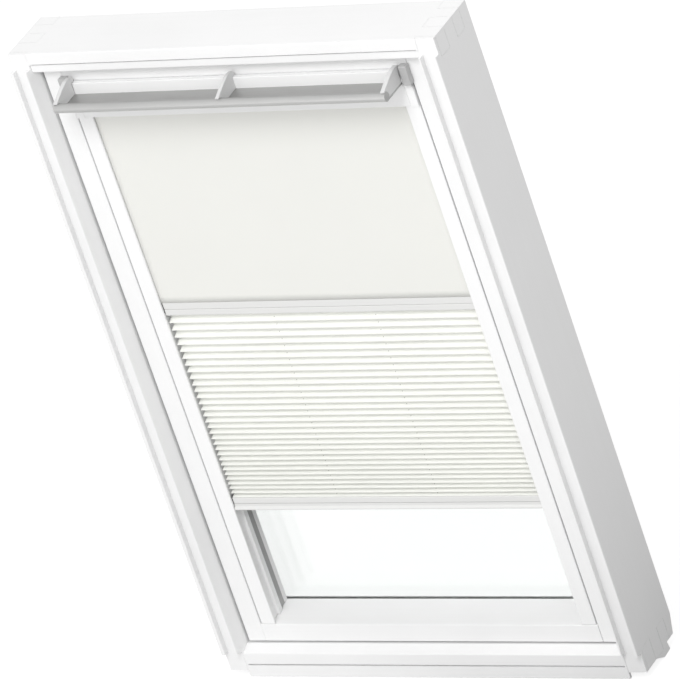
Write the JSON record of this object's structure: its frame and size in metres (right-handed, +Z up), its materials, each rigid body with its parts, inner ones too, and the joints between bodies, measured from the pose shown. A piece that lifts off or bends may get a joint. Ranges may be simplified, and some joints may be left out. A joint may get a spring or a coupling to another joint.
{
  "type": "roof window with blind",
  "caption": "Centre-pivot roof window with a control bar, and a blind that joins a blackout cloth above a pleated cloth.",
  "frame": {"origin": "bottom centre of the frame's room-side face", "axes": "+X to the right as seen from the room, +Y from the room to the outside, +Z up along the window"},
  "size_m": [0.78, 0.1663, 1.191],
  "materials": {
    "frame_white": "white lacquer, satin",
    "sash_white": "white lacquer, satin",
    "white_plastic": "fine satin",
    "grey_plastic": "fine satin",
    "nylon": "smooth",
    "aluminium": "anodised, satin",
    "white_aluminium": "powder coated",
    "steel": "zinc plated",
    "rubber": "matt",
    "glass": "clear",
    "blackout_fabric": "fine plain weave, coated",
    "pleat_fabric": "fine weave, translucent",
    "filter_fleece": "open fleece"
  },
  "bodies": {
    "frame": {"frame_head": "frame_white", "frame_sill": "frame_white", "frame_side_left": "frame_white", "frame_side_right": "frame_white", "frame_hinge_left": "steel", "frame_hinge_right": "steel", "frame_hinge_screw_left": "steel", "frame_hinge_screw_right": "steel", "strike_plate": "steel"},
    "sash": {"sash_head": "sash_white", "sash_sill": "sash_white", "sash_side_left": "sash_white", "sash_side_right": "sash_white", "sash_hinge_left": "steel", "sash_hinge_right": "steel", "sash_hinge_screw_left": "steel", "sash_hinge_screw_right": "steel", "inner_pane": "glass", "outer_pane": "glass", "spacer_frame": "aluminium", "inner_gasket": "rubber", "outer_gasket": "rubber", "glazing_cover": "aluminium", "weather_seal": "rubber", "lock_case": "steel", "air_filter_left": "filter_fleece", "air_filter_right": "filter_fleece", "bar_bracket_left": "grey_plastic", "bar_bracket_right": "grey_plastic", "head_casing": "white_aluminium", "end_cap_left": "white_plastic", "end_cap_right": "white_plastic", "rail_left": "white_plastic", "rail_right": "white_plastic", "light_seal_left": "rubber", "light_seal_right": "rubber", "blackout_cloth": "blackout_fabric"},
    "lock": {"lock_tongue": "steel"},
    "vent_bar": {"vent_flap": "sash_white", "flap_seal": "rubber", "control_bar": "aluminium", "bar_arm_left": "grey_plastic", "bar_arm_middle": "grey_plastic", "bar_arm_right": "grey_plastic", "flap_pin_left": "steel", "flap_pin_right": "steel"},
    "roller": {"roller_tube": "aluminium", "wound_cloth": "blackout_fabric", "roller_plug_left": "nylon", "roller_plug_right": "nylon", "roller_spring": "steel"},
    "middle": {"middle_bar": "white_aluminium", "pleat_top_rail": "white_plastic", "middle_bar_guide_left": "rubber", "middle_bar_guide_right": "rubber", "pleated_cloth": "pleat_fabric"},
    "bottom": {"pleat_bottom_rail": "white_plastic", "bottom_bar": "white_aluminium", "bottom_bar_guide_left": "rubber", "bottom_bar_guide_right": "rubber"}
  },
  "joints": [
    {"name": "sash_pivot", "type": "hinge", "parent": "frame", "child": "sash", "pos_m": [0, 0.063, 0.5915], "axis": [1, 0, 0], "range_deg": [0, 155]},
    {"name": "control_bar_hinge", "type": "hinge", "parent": "sash", "child": "vent_bar", "pos_m": [0, 0.023, 1.121], "axis": [-1, 0, 0], "range_deg": [0, 25]},
    {"name": "lock_slide", "type": "slide", "parent": "sash", "child": "lock", "axis": [0, 0, 1], "range_m": [-0.0101, 0]},
    {"name": "middle_bar_slide", "type": "slide", "parent": "sash", "child": "middle", "axis": [0, 0, 1], "range_m": [-0.106, 0.345], "deforming": ["blackout_cloth"]},
    {"name": "roller_turn", "type": "hinge", "parent": "sash", "child": "roller", "pos_m": [0, 0.0463, 1.0691], "axis": [1, 0, 0], "range_deg": [-1800, 555]},
    {"name": "bottom_bar_slide", "type": "slide", "parent": "middle", "child": "bottom", "axis": [0, 0, 1], "range_m": [-0.11, 0.31], "deforming": ["pleated_cloth"]}
  ],
  "couplings": [
    {"joint": "lock_slide", "follows": "control_bar_hinge", "m_per_rad": -0.0229},
    {"joint": "roller_turn", "follows": "middle_bar_slide", "rad_per_m": -90.909}
  ]
}
